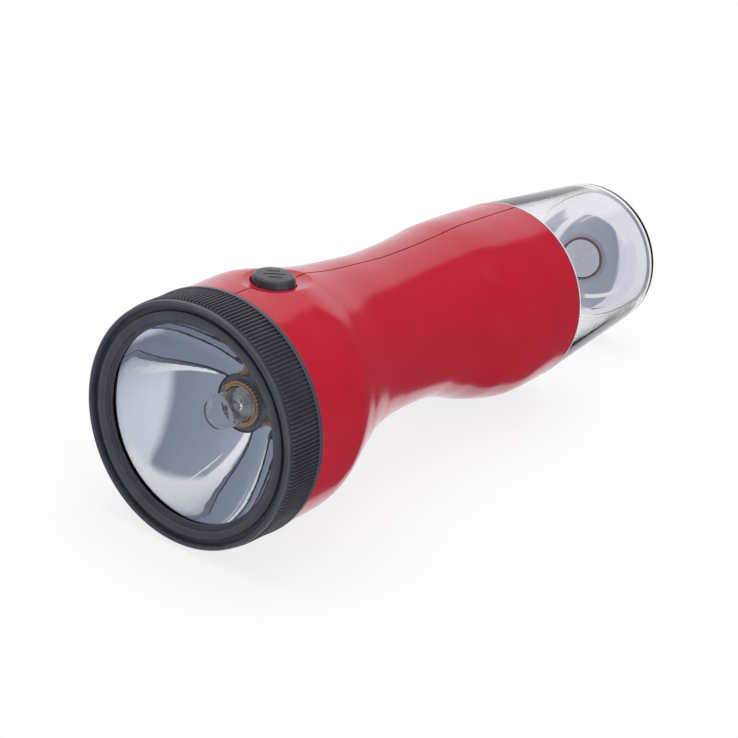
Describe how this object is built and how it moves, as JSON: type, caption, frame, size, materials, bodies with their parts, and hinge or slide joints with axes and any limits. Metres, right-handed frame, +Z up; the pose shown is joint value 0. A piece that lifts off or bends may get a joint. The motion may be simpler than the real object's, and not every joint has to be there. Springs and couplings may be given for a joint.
{
  "type": "flashlight",
  "caption": "Red plastic torch with a waisted two-half body, ribbed screw bezel, push button, two large cells and a clear screw cap over a mirror dome and tail lamp.",
  "frame": {"origin": "centre of the bounding box's underside, on the table the torch lies on", "axes": "+Z up, through the push button; -Y the way the beam points; +X the torch's left side"},
  "size_m": [0.0802, 0.2337, 0.0808],
  "materials": {
    "body_red": "semi-gloss",
    "ring_charcoal": "satin",
    "button_charcoal": "satin",
    "lens_clear": "clear",
    "cap_clear": "clear",
    "mirror_coat": "vacuum-metallised plastic",
    "bulb_glass": "clear",
    "tungsten": "drawn",
    "brass": "pressed",
    "tinned_brass": "tinned",
    "spring_steel": "drawn",
    "grey_plastic": "satin",
    "white_plastic": "satin",
    "black_rubber": "matt",
    "cell_jacket": "printed film, left plain",
    "lamp_epoxy": "clear"
  },
  "bodies": {
    "torch_body": {"left_shell": "body_red", "right_shell": "body_red", "reflector": "mirror_coat", "bulb_glass": "bulb_glass", "bulb_filament": "tungsten", "bulb_base": "tinned_brass", "bulb_collar": "brass", "bulb_holder": "grey_plastic", "bulb_contact_strip": "brass", "tail_contact_strip": "brass", "button_spring": "spring_steel", "switch_housing": "white_plastic", "battery_front": "cell_jacket", "battery_rear": "cell_jacket", "tail_spring": "spring_steel", "tail_contact_disc": "brass", "bulkhead_cup": "grey_plastic", "lamp_plate": "white_plastic", "rear_lamp": "lamp_epoxy"},
    "lens_pack": {"front_lens": "lens_clear", "lens_gasket": "black_rubber"},
    "bezel": {"bezel_ring": "ring_charcoal"},
    "cap_carrier": {"dome_reflector": "mirror_coat", "cap_seal": "black_rubber"},
    "tail_cap": {"rear_cap": "cap_clear"},
    "button": {"push_button": "button_charcoal", "switch_contact": "brass"}
  },
  "joints": [
    {"name": "bezel_travel", "type": "slide", "parent": "torch_body", "child": "lens_pack", "axis": [0, -0.9985, 0.0555], "range_m": [0, 0.0048]},
    {"name": "bezel_turn", "type": "hinge", "parent": "lens_pack", "child": "bezel", "pos_m": [0, -0.11468, 0.04093], "axis": [0, -0.9985, 0.0555], "range_deg": [0, 540]},
    {"name": "cap_travel", "type": "slide", "parent": "torch_body", "child": "cap_carrier", "axis": [0, 0.9985, -0.0555], "range_m": [0, 0.0048]},
    {"name": "cap_turn", "type": "hinge", "parent": "cap_carrier", "child": "tail_cap", "pos_m": [0, 0.11556, 0.02812], "axis": [0, 0.9985, -0.0555], "range_deg": [0, 540]},
    {"name": "button_press", "type": "slide", "parent": "torch_body", "child": "button", "axis": [0, -0.0555, -0.9985], "range_m": [0, 0.0025], "stiffness_N_per_m": 900, "springref_m": -0.001, "deforming": ["button_spring"]}
  ],
  "couplings": [
    {"joint": "bezel_turn", "follows": "bezel_travel", "rad_per_m": 1963.5},
    {"joint": "cap_turn", "follows": "cap_travel", "rad_per_m": 1963.5}
  ]
}
